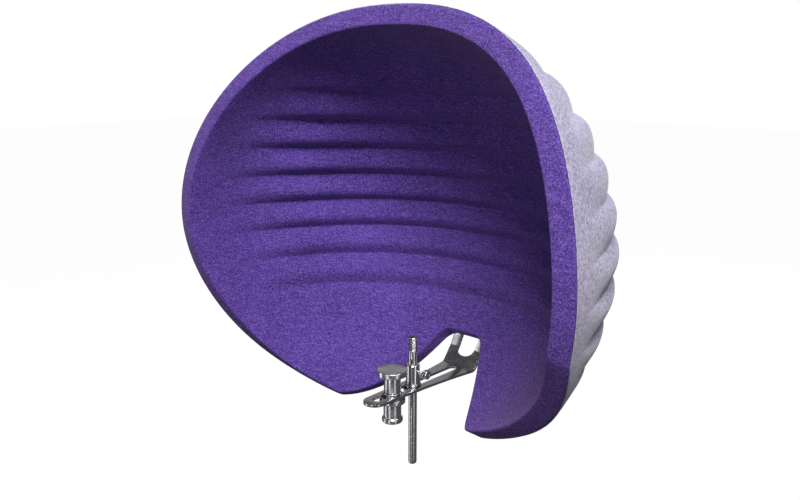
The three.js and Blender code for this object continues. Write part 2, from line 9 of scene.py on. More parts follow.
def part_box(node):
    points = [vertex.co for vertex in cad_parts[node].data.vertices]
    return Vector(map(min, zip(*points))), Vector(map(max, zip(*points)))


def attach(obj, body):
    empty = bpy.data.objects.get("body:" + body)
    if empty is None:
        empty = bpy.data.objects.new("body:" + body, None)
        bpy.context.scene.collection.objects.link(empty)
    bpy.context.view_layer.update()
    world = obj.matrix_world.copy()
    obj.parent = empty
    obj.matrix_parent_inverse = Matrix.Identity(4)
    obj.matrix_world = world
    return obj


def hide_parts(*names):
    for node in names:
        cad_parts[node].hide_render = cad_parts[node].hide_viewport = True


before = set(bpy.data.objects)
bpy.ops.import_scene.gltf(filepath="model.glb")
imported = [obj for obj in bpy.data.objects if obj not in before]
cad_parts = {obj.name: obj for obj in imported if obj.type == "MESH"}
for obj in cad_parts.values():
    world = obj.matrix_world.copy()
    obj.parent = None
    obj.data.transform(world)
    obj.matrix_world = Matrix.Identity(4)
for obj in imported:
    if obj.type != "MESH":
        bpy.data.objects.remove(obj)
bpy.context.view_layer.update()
print("frame loaded:", len(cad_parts), "nodes")

mm = 0.001


# Puts points in millimetres and faces given by index into a new object, in metres.
def putMesh(name, points, faces, smooth=True):
    mesh = bpy.data.meshes.new(name)
    mesh.from_pydata((np.asarray(points, float) * mm).tolist(), [], faces)
    mesh.update()
    piece = bpy.data.objects.new(name, mesh)
    bpy.context.scene.collection.objects.link(piece)
    if smooth:
        mesh.shade_smooth()
    return piece


# Blends from 0 to 1 between two edges with a cubic ease: 3t^2 - 2t^3.
def ease(start, end, value):
    t = np.clip((value - start) / (end - start), 0, 1)
    return t * t * (3 - 2 * t)


dome = {
    "centreZ": 204.6, "centreY": -169.8, "lean": 0.036,
    "halfWidth": 275.4, "depth": 364.3, "plan": 2.31,
    "crown": 263.6, "crownPower": 1.94, "foot": 258.6, "footPower": 1.84,
    "rimFront": -78.9, "rimTilt": -11.3, "rimSweep": 128.4, "rimSkew": -9.4, "rimPer": 275,
    "lobeBlendTop": 150, "archTop": 65, "archCorner": 9,
}

# The felt is trimmed wider on the left lobe and narrower on the right one.
leftTrim = {
    "tipX": 98, "tipZ": -3, "straight": 0, "power": 6, "archTop": 22, "archFoot": 60, "flare": 4.5,
}
rightTrim = {
    "tipX": 103, "tipZ": 3, "straight": 0.5, "power": 4, "archTop": 37, "archFoot": 76, "flare": 1.8,
}

felt = {
    "wall": 22.4, "skin": 4, "skinEdge": 0.8, "gap": 0.3,
    "skinFade": 14,           # how far in the skin reaches its full thickness
    "skinRadius": 0.4,        # rounding of the skin's own edges
    "edgeRadius": 2.2,        # rounding of the rim's two edges
    "edgeReach": 26,          # how far in the rounding shifts the grid
    "groove": 330.4, "pitch": 37.9, "crest": 0.62,
    "innerRib": 10, "outerRib": 7, "outerRise": 0.8,
    "outerFade": (15, 85), "innerFade": (30, 145),   # from the mouth, outside and inside
    "topFade": (432, 345), "lowFade": (48, 122),
    "lobeFlat": 0.35, "lobeFlatFrom": (106, 15),
    "seatZ": 108, "seatFade": (40, 70),
}

feltGrid = {
    "crownRows": 70, "crownHeight": 50, "ribRows": 250, "lobeRows": 56,
    "lobeColumns": 44, "middleColumns": 6,
}


# The dome's outer face is a rounded box: |x/a|^n + |(y - c)/b|^n + |h/reach|^m = 1, with its own
# reach and power above and below the widest level. This is what is left of 1 at a level z.
def sectionShare(z):
    above = z > dome["centreZ"]
    reach = np.where(above, dome["crown"], dome["foot"])
    power = np.where(above, dome["crownPower"], dome["footPower"])
    return 1 - np.abs((z - dome["centreZ"]) / reach) ** power


def centreLine(z):
    return dome["centreY"] + dome["lean"] * (z - dome["centreZ"])


# The mouth's edge: y is a cubic in the height.
def rimY(z):
    s = (z - dome["centreZ"]) / dome["rimPer"]
    return dome["rimFront"] + dome["rimTilt"] * s + dome["rimSweep"] * s**2 + dome["rimSkew"] * s**3


def rimX(z):
    n = dome["plan"]
    left = sectionShare(z) - (np.maximum(rimY(z) - centreLine(z), 0) / dome["depth"]) ** n
    return dome["halfWidth"] * np.maximum(left, 0) ** (1 / n)


# Stays near 0 and then turns square to the edge as t reaches 1: 1 - sqrt(1 - t^p).
def roundEnd(t, p):
    return 1 - np.sqrt(np.maximum(0, 1 - np.clip(t, 0, 1) ** p))


# Half width of the felt at a level: the mouth's edge, drawn in to that side's lobe tip low down.
def outerHalf(z, side):
    tip = side["tipZ"]
    t = np.maximum(0, (dome["lobeBlendTop"] - z) / (dome["lobeBlendTop"] - tip))
    drawn = side["straight"] * t**1.3 + (1 - side["straight"]) * roundEnd(t, side["power"])
    return rimX(z) - (rimX(np.array(tip)) - side["tipX"]) * drawn


# Half width of the arch: a head with round corners, a straight flank and a flare to the tip.
def archHalf(z, side):
    t = np.maximum(0, (dome["archTop"] - z) / (dome["archTop"] - side["tipZ"]))
    flank = side["archTop"] + (side["archFoot"] - side["archTop"]) * t
    flare = (side["tipX"] - side["archFoot"]) * roundEnd(t, side["flare"])
    corner = dome["archCorner"]
    return flank + flare - corner * roundEnd(1 - (dome["archTop"] - z) / corner, 2)


# Plan angle of the outer face at half width x.
def angleAt(x, z):
    n = dome["plan"]
    left = sectionShare(z) - (x / dome["halfWidth"]) ** n
    return np.arctan2(x, dome["depth"] * np.maximum(left, 0) ** (1 / n))


# Point of the smooth outer face at a plan angle and a level.
def facePoint(angle, z):
    n = dome["plan"]
    across = np.abs(np.sin(angle) / dome["halfWidth"]) ** n
    along = np.abs(np.cos(angle) / dome["depth"]) ** n
    radius = (np.maximum(sectionShare(z), 0) / (across + along)) ** (1 / n)
    return np.stack([radius * np.sin(angle), centreLine(z) + radius * np.cos(angle), z], -1)


# Outward normal: the gradient of the face's formula.
def faceNormal(point):
    x, y, z = point[..., 0], point[..., 1], point[..., 2]
    above = z > dome["centreZ"]
    reach = np.where(above, dome["crown"], dome["foot"])
    power = np.where(above, dome["crownPower"], dome["footPower"])

    def slope(value, size, p):
        return np.sign(value) * p * np.abs(value / size) ** (p - 1) / size

    back = slope(y - centreLine(z), dome["depth"], dome["plan"])
    up = slope(z - dome["centreZ"], reach, power) - back * dome["lean"]
    normal = np.stack([slope(x, dome["halfWidth"], dome["plan"]), back, up], -1)
    return normal / np.linalg.norm(normal, axis=-1, keepdims=True)


# The way the wall's thickness runs: along the normal, but flatter and flatter in the lobes.
def wallDirection(point):
    normal = faceNormal(point)
    flat = 1 - (1 - felt["lobeFlat"]) * ease(*felt["lobeFlatFrom"], point[..., 2])
    normal = normal * np.stack([np.ones_like(flat), np.ones_like(flat), flat], -1)
    return normal / np.linalg.norm(normal, axis=-1, keepdims=True)


def ribPhase(z):
    return ((felt["groove"] - z) / felt["pitch"]) % 1


# Half a sine over each pitch, skewed so that its peak stands at a given share of the pitch.
def skewedWave(phase, peak):
    return np.sin(pi * phase ** (np.log(0.5) / np.log(peak)))


# Ribs die away towards the mouth, the crown and the lobes.
def ribShare(angle, z, rimFade):
    rimAngle = [angleAt(outerHalf(z, side), z) for side in (leftTrim, rightTrim)]
    toRim = (np.where(angle < 0, *rimAngle) - np.abs(angle)) * dome["halfWidth"]
    return ease(*rimFade, toRim) * ease(*felt["topFade"], z) * ease(*felt["lowFade"], z)


def outerOffset(angle, z, point):
    wave = skewedWave((ribPhase(z) - felt["crest"]) % 1, 1 - felt["crest"]) - felt["outerRise"]
    flat = ease(*felt["seatFade"], np.hypot(point[..., 0], z - felt["seatZ"]))
    return felt["outerRib"] * wave * ribShare(angle, z, felt["outerFade"]) * flat


def innerOffset(angle, z, point):
    wave = skewedWave(ribPhase(z), felt["crest"])
    return -felt["wall"] - felt["innerRib"] * wave * ribShare(angle, z, felt["innerFade"])


# Levels of the grid's rows, closer together where the outline is round.
def feltLevels():
    crownTop = dome["centreZ"] + dome["crown"] * np.linspace(0.5, 0.999, 20000)
    inside = rimX(crownTop) > 0
    crownTop = crownTop[inside].max()
    crownFoot = crownTop - feltGrid["crownHeight"]
    crown = crownTop - (crownTop - crownFoot) * np.linspace(0, 1, feltGrid["crownRows"], False) ** 2
    ribs = np.linspace(crownFoot, dome["archTop"], feltGrid["ribRows"], False)
    turn = np.linspace(0, pi, feltGrid["lobeRows"])
    drop = (1 - np.cos(turn)) / 2
    lobes = [dome["archTop"] - (dome["archTop"] - side["tipZ"]) * drop
             for side in (leftTrim, rightTrim)]
    return [np.concatenate([crown, ribs, lobe]) for lobe in lobes], len(crown) + len(ribs)


# Plan angles and levels of every row's columns: left lobe, middle, right lobe.
def feltColumns(levels):
    top = np.array(float(dome["archTop"]))
    step = np.linspace(0, 1, feltGrid["lobeColumns"], False)
    lobes, inners = [], []
    for side, level in zip((leftTrim, rightTrim), levels):
        outer = angleAt(outerHalf(level, side), level)
        share = angleAt(archHalf(top, side), top) / angleAt(outerHalf(top, side), top)
        inner = np.where(level <= top, angleAt(archHalf(level, side), level), outer * share)
        lobes.append(outer[:, None] + (inner - outer)[:, None] * step)
        inners.append(inner[:, None])
    across = np.linspace(0, 1, feltGrid["middleColumns"] + 1)
    centre = -inners[0] + (inners[0] + inners[1]) * across
    heights = [np.repeat(level[:, None], len(step), 1) for level in levels]
    middle = levels[0][:, None] + (levels[1] - levels[0])[:, None] * across
    angle = np.concatenate([-lobes[0], centre, lobes[1][:, ::-1]], 1)
    return angle, np.concatenate([heights[0], middle, heights[1]], 1)


# The grid as index numbers: quads, end triangles, and the outline in order.
def feltTopology(rows, columns, archRow):
    side, middle = feltGrid["lobeColumns"], feltGrid["middleColumns"]
    last = columns - 1
    index = np.arange(rows * columns).reshape(rows, columns)
    index[0] = index[0, 0]                       # the crown is one point
    index[-1, : side + 1] = index[-1, 0]         # and so is each lobe's tip
    index[-1, side + middle :] = index[-1, last]
    quads = np.stack([index[:-1, :-1], index[1:, :-1], index[1:, 1:], index[:-1, 1:]], -1)
    keep = np.ones(quads.shape[:2], bool)
    keep[archRow:, side : side + middle] = False
    quads = quads[keep]
    top = quads[:, 0] == quads[:, 3]
    tip = quads[:, 1] == quads[:, 2]
    triangles = np.concatenate([quads[top][:, :3], quads[tip][:, [0, 1, 3]]])
    outline = np.concatenate([
        index[:-1, 0], index[-1:, 0], index[archRow:-1, side][::-1],
        index[archRow, side + 1 : side + middle], index[archRow:-1, side + middle],
        index[-1:, last], index[1:-1, last][::-1],
    ])
    return quads[~(top | tip)], triangles, outline


# Everything both felts share: points of the smooth face, normals, outline and its outward edge
# direction. The whole grid is drawn in a little near the outline to leave room for round edges.
def feltBase():
    levels, archRow = feltLevels()
    angle, z = feltColumns(levels)
    point = facePoint(angle, z)
    normal = wallDirection(point)
    quads, triangles, outline = feltTopology(*angle.shape, archRow)
    flatPoint, flatNormal = point.reshape(-1, 3), normal.reshape(-1, 3)
    edge = flatPoint[outline]
    along = np.roll(edge, -1, 0) - np.roll(edge, 1, 0)
    outward = np.cross(along, flatNormal[outline])
    outward /= np.linalg.norm(outward, axis=1, keepdims=True)
    if np.sum(outward[:, 0] * edge[:, 0]) < 0:
        outward = -outward
    nearest = np.empty(len(flatPoint), int)
    for start in range(0, len(flatPoint), 4000):     # the nearest outline point, in blocks
        block = flatPoint[start : start + 4000]
        gaps = np.linalg.norm(block[:, None] - edge[None], axis=2)
        nearest[start : start + 4000] = gaps.argmin(1)
    away = np.linalg.norm(flatPoint - edge[nearest], axis=1)
    pull = np.clip(1 - away / felt["edgeReach"], 0, 1) ** 2
    flatPoint = flatPoint - outward[nearest] * (felt["edgeRadius"] * pull)[:, None]
    return {
        "point": flatPoint, "normal": flatNormal, "angle": angle.ravel(), "level": z.ravel(),
        "quads": quads, "triangles": triangles, "outline": outline, "outward": outward,
        "toEdge": away,
    }


# A closed sheet between two faces given as offsets along the normal. Its edge band runs round
# the outline with two quarter rounds of the given radius and a straight stretch between them.
def feltSheet(name, base, high, low, radius, roundSteps, flatSteps):
    count = len(base["point"])
    outline = base["outline"]
    top = base["point"] + base["normal"] * high[:, None]
    bottom = base["point"] + base["normal"] * low[:, None]
    highEdge, lowEdge = high[outline], low[outline]
    size = np.minimum(radius, (highEdge - lowEdge) / 2.01)
    turn = np.linspace(0, pi / 2, roundSteps + 1)[1:, None]
    firstRound = (highEdge - size * (1 - np.cos(turn)), size * np.sin(turn))
    share = np.linspace(0, 1, flatSteps + 1)[1:-1, None]
    straight = ((highEdge - size) * (1 - share) + (lowEdge + size) * share, size + 0 * share)
    lastRound = (lowEdge + size * (1 - np.cos(turn[::-1])), size * np.sin(turn[::-1]))
    offsets = np.concatenate([firstRound[0], straight[0], lastRound[0]])
    bulges = np.concatenate([firstRound[1], straight[1], lastRound[1]])
    band = (base["point"][outline] + base["normal"][outline] * offsets[..., None]
            + base["outward"] * bulges[..., None])
    ring = len(outline)
    rings = [outline] + [2 * count + k * ring + np.arange(ring) for k in range(len(band))]
    rings.append(outline + count)
    bandQuads = []
    for upper, lower in zip(rings[:-1], rings[1:]):
        bandQuads.append(np.stack([upper, np.roll(upper, -1), np.roll(lower, -1), lower], -1))
    quads = np.concatenate([base["quads"], base["quads"][:, ::-1] + count, *bandQuads])
    triangles = np.concatenate([base["triangles"], base["triangles"][:, ::-1] + count])
    points = np.concatenate([top, bottom, band.reshape(-1, 3)])
    used = np.unique(np.concatenate([quads.ravel(), triangles.ravel()]))
    number = np.zeros(len(points), int)
    number[used] = np.arange(len(used))
    piece = putMesh(name, points[used], number[quads].tolist() + number[triangles].tolist())
    outwards(piece)
    return piece


# Turns every face of a closed mesh outwards.
def outwards(piece):
    mesh = bmesh.new()
    mesh.from_mesh(piece.data)
    bmesh.ops.recalc_face_normals(mesh, faces=mesh.faces)
    mesh.to_mesh(piece.data)
    mesh.free()
    piece.data.shade_smooth()


base = feltBase()
bare = base["angle"], base["level"], base["point"]
outerFace = outerOffset(*bare)
skinShare = ease(0, felt["skinFade"], base["toEdge"])
thinning = felt["skinEdge"] + (felt["skin"] - felt["skinEdge"]) * skinShare
innerLiner = feltSheet(
    "innerLinerFelt", base, outerFace - thinning - felt["gap"], innerOffset(*bare),
    felt["edgeRadius"], 5, 5)
outerSkin = feltSheet(
    "outerSkinFelt", base, outerFace, outerFace - thinning, felt["skinRadius"], 2, 1)
print("felt dome made, faces:", len(innerLiner.data.polygons), len(outerSkin.data.polygons))
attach(innerLiner, "shell")
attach(outerSkin, "shell")
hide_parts("inner_liner")
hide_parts("outer_skin")


# A turned profile with its corners rounded: each corner [radius, height, fillet] becomes the
# curve (1-t)^2 a + 2t(1-t) b + t^2 c between two points at the fillet's distance from it.
def filletProfile(corners, steps=5):
    spots = np.array([corner[:2] for corner in corners], float)
    fillets = np.array([corner[2] if len(corner) > 2 else 0 for corner in corners], float)
    t = np.linspace(0, 1, steps + 1)[:, None]
    line = []
    for k, (spot, fillet) in enumerate(zip(spots, fillets)):
        if fillet == 0:
            line.append(spot[None])
            continue
        before, after = spots[k - 1] - spot, spots[(k + 1) % len(spots)] - spot
        lengths = np.linalg.norm(before), np.linalg.norm(after)
        reach = min(fillet, 0.45 * lengths[0], 0.45 * lengths[1])
        start, end = spot + before / lengths[0] * reach, spot + after / lengths[1] * reach
        hold = 0.12 * reach
        line.append((start + before / lengths[0] * hold)[None])
        line.append((1 - t) ** 2 * start + 2 * t * (1 - t) * spot + t**2 * end)
        line.append((end + after / lengths[1] * hold)[None])
    return np.concatenate(line)


# A piece turned round an upright axis through centre: radius and height from the profile, one
# ring for each profile point. shape(radius, height, angle) may change the radius, as a thread
# or a knurl does. A profile that starts and ends on the axis is closed by its two poles, and
# any other is joined end to start.
def turnedPiece(name, profile, centre=(0, 0), segments=96, shape=None):
    angle = np.linspace(0, 2 * pi, segments, False)
    radius, height = profile[:, 0][:, None], profile[:, 1][:, None] + 0 * angle
    radius = radius + 0 * angle if shape is None else shape(radius, height, angle)
    across, along = centre[0] + radius * np.cos(angle), centre[1] + radius * np.sin(angle)
    grid = np.stack([across, along, height], -1)
    rows = len(profile)
    index = np.arange(rows * segments).reshape(rows, segments)
    onAxis = profile[0, 0] == 0 and profile[-1, 0] == 0
    if onAxis:
        index[0], index[-1] = index[0, 0], index[-1, 0]
    upper = index[:-1] if onAxis else index
    lower = index[1:] if onAxis else np.roll(index, -1, 0)
    around = np.stack([upper, np.roll(upper, -1, 1), np.roll(lower, -1, 1), lower], -1)
    faces = [list(dict.fromkeys(face)) for face in around.reshape(-1, 4).tolist()]
    used = np.unique(np.concatenate(faces)).astype(int)
    number = np.zeros(rows * segments, int)
    number[used] = np.arange(len(used))
    piece = putMesh(name, grid.reshape(-1, 3)[used], [number[face].tolist() for face in faces])
    outwards(piece)
    return piece


# Stands a piece for its CAD nodes: attaches it to its body and hides the nodes. The slot is not
# used.
def standsFor(piece, body, slot, *nodes):
    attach(piece, body)
    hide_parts(*nodes)
    return piece


# Heights of a CAD node in millimetres, so that the pieces follow the imported part.
def levels(node):
    low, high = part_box(node)
    return low.z / mm, high.z / mm


adapter = {
    "bore": 7.94, "boreDepth": 14, "body": 9.85, "ring": 11.6, "ringHeight": 6.2,
    "flange": 14.3, "flangeHeight": 5, "studHole": 4.2, "floor": 2.5,
    "threadPitch": 0.94, "threadDepth": 0.5,
}


# The adapter's profile, with the ridges of its female thread cut into the bore.
def makeAdapter():
    top = levels("stand_adapter")[1]
    flangeLow = top - adapter["flangeHeight"]
    turns = int((adapter["boreDepth"] - 2.5) / adapter["threadPitch"])
    ridge = np.arange(turns * 2 + 1)
    thread = np.stack([
        adapter["bore"] - adapter["threadDepth"] * (ridge % 2),
        adapter["boreDepth"] - 1 - ridge * adapter["threadPitch"] / 2,
    ], 1)
    upper = filletProfile([
        [0, adapter["boreDepth"]], [adapter["bore"], adapter["boreDepth"], 0.4],
        [adapter["bore"], adapter["boreDepth"] - 0.9],
    ])
    outside = filletProfile([
        [adapter["bore"], 0.9], [adapter["bore"] + 0.9, 0, 0.2], [adapter["ring"] - 1.2, 0, 0.5],
        [adapter["ring"], 1.2, 0.8], [adapter["ring"], adapter["ringHeight"] - 1.2, 0.8],
        [adapter["ring"] - 1.2, adapter["ringHeight"], 0.5],
        [adapter["body"], adapter["ringHeight"], 0.35], [adapter["body"], flangeLow - 1, 0.6],
        [adapter["body"] + 1, flangeLow, 0.4], [adapter["flange"] - 0.3, flangeLow, 0.4],
        [adapter["flange"], flangeLow + 0.6, 0.4], [adapter["flange"], top - 0.6, 0.4],
        [adapter["flange"] - 0.6, top, 0.4], [adapter["studHole"], top, 0.3],
        [adapter["studHole"], adapter["boreDepth"] + adapter["floor"], 0.2],
        [0, adapter["boreDepth"] + adapter["floor"]],
    ])
    return turnedPiece("turnedAdapter", np.concatenate([upper, thread, outside]))


turnedAdapter = standsFor(makeAdapter(), "stand", "bright_steel", "stand_adapter")

knob = {"bore": 3.95, "boreTop": 54, "neck": 9.3, "radius": 17, "rim": 6.2, "dish": 0.35}


# The knob: a round head on a neck, its top very slightly dished and its rim rounded.
def makeKnob():
    low, top = levels("clamp_knob")
    rimLow = top - knob["rim"]
    return turnedPiece("turnedKnob", filletProfile([
        [0, knob["boreTop"]], [knob["bore"], knob["boreTop"], 0.3], [knob["bore"], low, 0.3],
        [knob["neck"], low, 0.5], [knob["neck"], rimLow - 1, 0.8],
        [knob["neck"] + 1.4, rimLow, 0.8], [knob["radius"], rimLow, 1.2],
        [knob["radius"], top, 1.3], [knob["radius"] - 2.2, top, 0.8],
        [knob["radius"] - 3.2, top - knob["dish"], 0.5], [0.8, top - knob["dish"], 0.2],
        [0, top - knob["dish"] - 0.35],
    ]), segments=128)


turnedKnob = standsFor(makeKnob(), "knob", "bright_steel", "clamp_knob")

washerLow, washerTop = levels("knob_washer")
knobWasher = standsFor(turnedPiece("turnedWasher", filletProfile([
    [4.2, washerLow, 0.2], [10.6, washerLow, 0.35], [10.6, washerTop, 0.6], [4.2, washerTop, 0.2],
])), "knob_lifter", "bright_steel", "knob_washer")

post = {
    "y": 33.7, "radius": 4.7625, "thread": 16, "pitch": 1.5875, "threadDepth": 0.9,
    "grooveHeight": -27.5, "groove": 0.14, "threadRows": 130,
}


# The microphone post. Its thread is a helix: the radius falls by a rounded saw whose phase is
# height / pitch - angle / one turn, faded in at both ends of the threaded length.
def makePost():
    low, top = levels("mic_post")
    start = top - post["thread"]
    groove = post["grooveHeight"]
    body = filletProfile([
        [0, low], [post["radius"] - 1.4, low, 0.5], [post["radius"], low + 1.6, 0.8],
        [post["radius"], groove - 0.4, 0.1], [post["radius"] - post["groove"], groove, 0.1],
        [post["radius"], groove + 0.4, 0.1], [post["radius"], start - 1.4, 0.1],
        [post["radius"] - 0.5, start - 1.1, 0.1], [post["radius"] - 0.5, start - 0.4, 0.1],
    ])
    rise = np.linspace(start - 0.2, top - 0.9, post["threadRows"])
    threaded = np.stack([np.full(post["threadRows"], post["radius"] - 0.04), rise], 1)
    tip = np.array([[post["radius"] - 0.55, top - 0.55], [post["radius"] - 0.9, top - 0.2],
                    [post["radius"] - 1.3, top], [1.2, top], [0.6, top - 0.05], [0, top - 0.1]])

    def helix(radius, height, angle):
        phase = (height / post["pitch"] - angle / (2 * pi)) % 1
        saw = (1 - np.abs(2 * phase - 1)) ** 0.8
        fade = ease(start - 0.2, start + 0.5, height)
        fade = fade * ease(top - 0.7, top - 1.6, height)
        return radius - post["threadDepth"] * saw * fade

    profile = np.concatenate([body, threaded, tip])
    return turnedPiece("threadedPost", profile, (0, post["y"]), 64, helix)


threadedPost = standsFor(makePost(), "post", "bright_steel", "mic_post")

thumb = {"stem": 1.9, "head": 5.2, "start": 17.2, "length": 6, "ridges": 26, "knurl": 0.28}


# The thumb screw, turned along its own axis and then laid along +X. Its knurl is a cosine round
# the head, faded at both shoulders.
def makeThumb():
    low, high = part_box("thumb_screw")
    height = (low.z + high.z) / 2 / mm
    tip = low.x / mm
    end = thumb["start"] + thumb["length"]
    rings = np.linspace(thumb["start"] + 0.9, end - 0.9, 9)
    grip = np.stack([np.full(9, thumb["head"] - thumb["knurl"] / 2), rings], 1)
    start = filletProfile([
        [0, tip], [thumb["stem"] - 0.5, tip, 0.15], [thumb["stem"], tip + 0.6, 0.15],
        [thumb["stem"], thumb["start"], 0.3], [thumb["head"] - 1, thumb["start"], 0.4],
    ])
    cap = filletProfile([[thumb["head"] - 0.3, end - 0.7], [thumb["head"] - 1.1, end, 0.3],
                         [2.4, end, 0.3], [1.8, end - 0.5, 0.3], [0, end - 0.5]])

    def knurl(radius, along, angle):
        fade = ease(thumb["start"] + 0.2, thumb["start"] + 1.2, along)
        fade = fade * ease(end - 0.2, end - 1.2, along)
        return radius + thumb["knurl"] * 0.5 * np.cos(thumb["ridges"] * angle) * fade

    screw = turnedPiece("knurledScrew", np.concatenate([start, grip, cap]), (0, 0), 208, knurl)
    place = Matrix.Translation((0, post["y"] * mm, height * mm))
    screw.data.transform(place @ Matrix.Rotation(pi / 2, 4, "Y"))
    return screw


knurledScrew = standsFor(makeThumb(), "thumb", "bright_steel", "thumb_screw")
print("turned pieces made")


# A CAD node's shape with its edges broken: the copy is merged, its flat faces are joined, its
# sharp edges get a small round, and faces on flat ground keep flat shading.
def softened(name, node, width, segments=3):
    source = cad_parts[node]
    mesh = bpy.data.meshes.new(name)
    work = bmesh.new()
    work.from_mesh(source.data)
    bmesh.ops.remove_doubles(work, verts=work.verts, dist=0.00002)
    bmesh.ops.dissolve_limit(work, angle_limit=radians(1), verts=work.verts, edges=work.edges)
    work.to_mesh(mesh)
    work.free()
    piece = bpy.data.objects.new(name, mesh)
    bpy.context.scene.collection.objects.link(piece)
    mesh.shade_smooth()
    bevel = piece.modifiers.new("brokenEdges", "BEVEL")
    bevel.width = width * mm
    bevel.segments = segments
    bevel.limit_method = "ANGLE"
    bevel.angle_limit = radians(35)
    bevel.harden_normals = True
    bevel.use_clamp_overlap = True
    return piece


pressed = {
    "support_arm": ("slottedArm", "shell", "bright_steel", 0.45),
    "post_collar": ("postSleeve", "collar", "bright_steel", 0.3),
    "collar_nut": ("sleeveNut", "collar", "plated_steel", 0.25),
    "slot_guide": ("slotGuide", "swivel", "plated_steel", 0.25),
    "arm_bolt_left": ("armBoltLeft", "shell", "bright_steel", 0.25),
    "arm_bolt_right": ("armBoltRight", "shell", "bright_steel", 0.25),
    "arm_washer_left": ("armWasherLeft", "shell", "bright_steel", 0.2),
    "arm_washer_right": ("armWasherRight", "shell", "bright_steel", 0.2),
}
steelPieces = {}
for node, (name, body, slot, width) in pressed.items():
    steelPieces[node] = standsFor(softened(name, node, width), body, slot, node)
print("pressed pieces made:", len(steelPieces))


# Makes an empty node group with named inputs and outputs, each as (kind, name, default).
def nodeGroup(name, inputs, outputs):
    group = bpy.data.node_groups.new(name, "ShaderNodeTree")
    for kind, label, default in inputs:
        socket = group.interface.new_socket(label, in_out="INPUT", socket_type=kind)
        socket.default_value = default
    for kind, label in outputs:
        group.interface.new_socket(label, in_out="OUTPUT", socket_type=kind)
    return group, group.nodes.new("NodeGroupInput"), group.nodes.new("NodeGroupOutput")


# Adds a node, sets its properties and joins or fills its inputs by name or number.
def addNode(tree, kind, inputs, **properties):
    node = tree.nodes.new(kind)
    for label, value in properties.items():
        setattr(node, label, value)
    for socket, value in inputs.items():
        if isinstance(value, bpy.types.NodeSocket):
            tree.links.new(value, node.inputs[socket])
        else:
            node.inputs[socket].default_value = value
    return node


def mathNode(tree, operation, *values):
    return addNode(tree, "ShaderNodeMath", dict(enumerate(values)), operation=operation).outputs[0]


def mixColours(tree, factor, first, second):
    node = addNode(tree, "ShaderNodeMix", {0: factor, 6: first, 7: second}, data_type="RGBA")
    return node.outputs[2]


# Noise at one size, stretched along each axis; gives its grey value.
def noiseValue(tree, where, scale, detail, roughness, stretch=(1, 1, 1), shift=(0, 0, 0)):
    placed = addNode(tree, "ShaderNodeMapping", {
        "Vector": where, "Scale": stretch, "Location": shift})
    noise = addNode(tree, "ShaderNodeTexNoise", {
        "Vector": placed.outputs[0], "Scale": scale, "Detail": detail, "Roughness": roughness})
    return noise.outputs["Fac"]


def mapValue(tree, value, low, high, toLow=0.0, toHigh=1.0):
    node = addNode(tree, "ShaderNodeMapRange", {0: value, 1: low, 2: high, 3: toLow, 4: toHigh})
    return node.outputs[0]


colourKind, numberKind, vectorKind = "NodeSocketColor", "NodeSocketFloat", "NodeSocketVector"


# Pressed felt: matted fibres as three sizes of noise, loose light and dark fibres as flecks, and
# faint lines drawn out along the ribs where the sheet was stretched over its mould.
def feltFibreGroup():
    group, given, made = nodeGroup("feltFibres", [
        (vectorKind, "Place", (0, 0, 0)), (colourKind, "Ground", (0.1, 0.1, 0.1, 1)),
        (colourKind, "Light Fibre", (0.5, 0.5, 0.5, 1)), (colourKind, "Dark Fibre", (0, 0, 0, 1)),
        (numberKind, "Mat Scale", 330.0), (numberKind, "Light Amount", 0.5),
        (numberKind, "Dark Amount", 0.5), (numberKind, "Streaks", 0.3),
    ], [(colourKind, "Color"), (numberKind, "Height")])
    place = given.outputs["Place"]
    matted = noiseValue(group, place, given.outputs["Mat Scale"], 4, 0.7)
    double = mathNode(group, "MULTIPLY", given.outputs["Mat Scale"], 2.6)
    fine = noiseValue(group, place, double, 3, 0.65, shift=(3, 1, 7))
    broad = noiseValue(group, place, 14.0, 3, 0.55, shift=(9, 4, 2))
    drawn = noiseValue(group, place, 95.0, 4, 0.7, stretch=(1, 1, 9))
    lightShare, darkShare = given.outputs["Light Amount"], given.outputs["Dark Amount"]
    lightMask = mathNode(group, "MULTIPLY", mapValue(group, matted, 0.5, 0.72), lightShare)
    lightFleck = mathNode(group, "MULTIPLY", mapValue(group, fine, 0.56, 0.7), lightShare)
    darkMask = mathNode(group, "MULTIPLY", mapValue(group, matted, 0.48, 0.3), darkShare)
    darkFleck = mathNode(group, "MULTIPLY", mapValue(group, fine, 0.44, 0.32), darkShare)
    ground = mixColours(group, mapValue(group, broad, 0.35, 0.65, 0, 0.35), given.outputs["Ground"],
                        given.outputs["Dark Fibre"])
    streak = mathNode(
        group, "MULTIPLY", mapValue(group, drawn, 0.5, 0.75), given.outputs["Streaks"])
    colour = mixColours(group, streak, ground, given.outputs["Light Fibre"])
    colour = mixColours(group, darkMask, colour, given.outputs["Dark Fibre"])
    colour = mixColours(group, darkFleck, colour, given.outputs["Dark Fibre"])
    colour = mixColours(group, lightMask, colour, given.outputs["Light Fibre"])
    colour = mixColours(group, lightFleck, colour, given.outputs["Light Fibre"])
    height = mathNode(group, "ADD", mathNode(group, "MULTIPLY", matted, 0.7),
                      mathNode(group, "MULTIPLY", fine, 0.3))
    height = mathNode(group, "ADD", height, mathNode(group, "MULTIPLY", drawn, 0.15))
    group.links.new(colour, made.inputs["Color"])
    group.links.new(height, made.inputs["Height"])
    return group


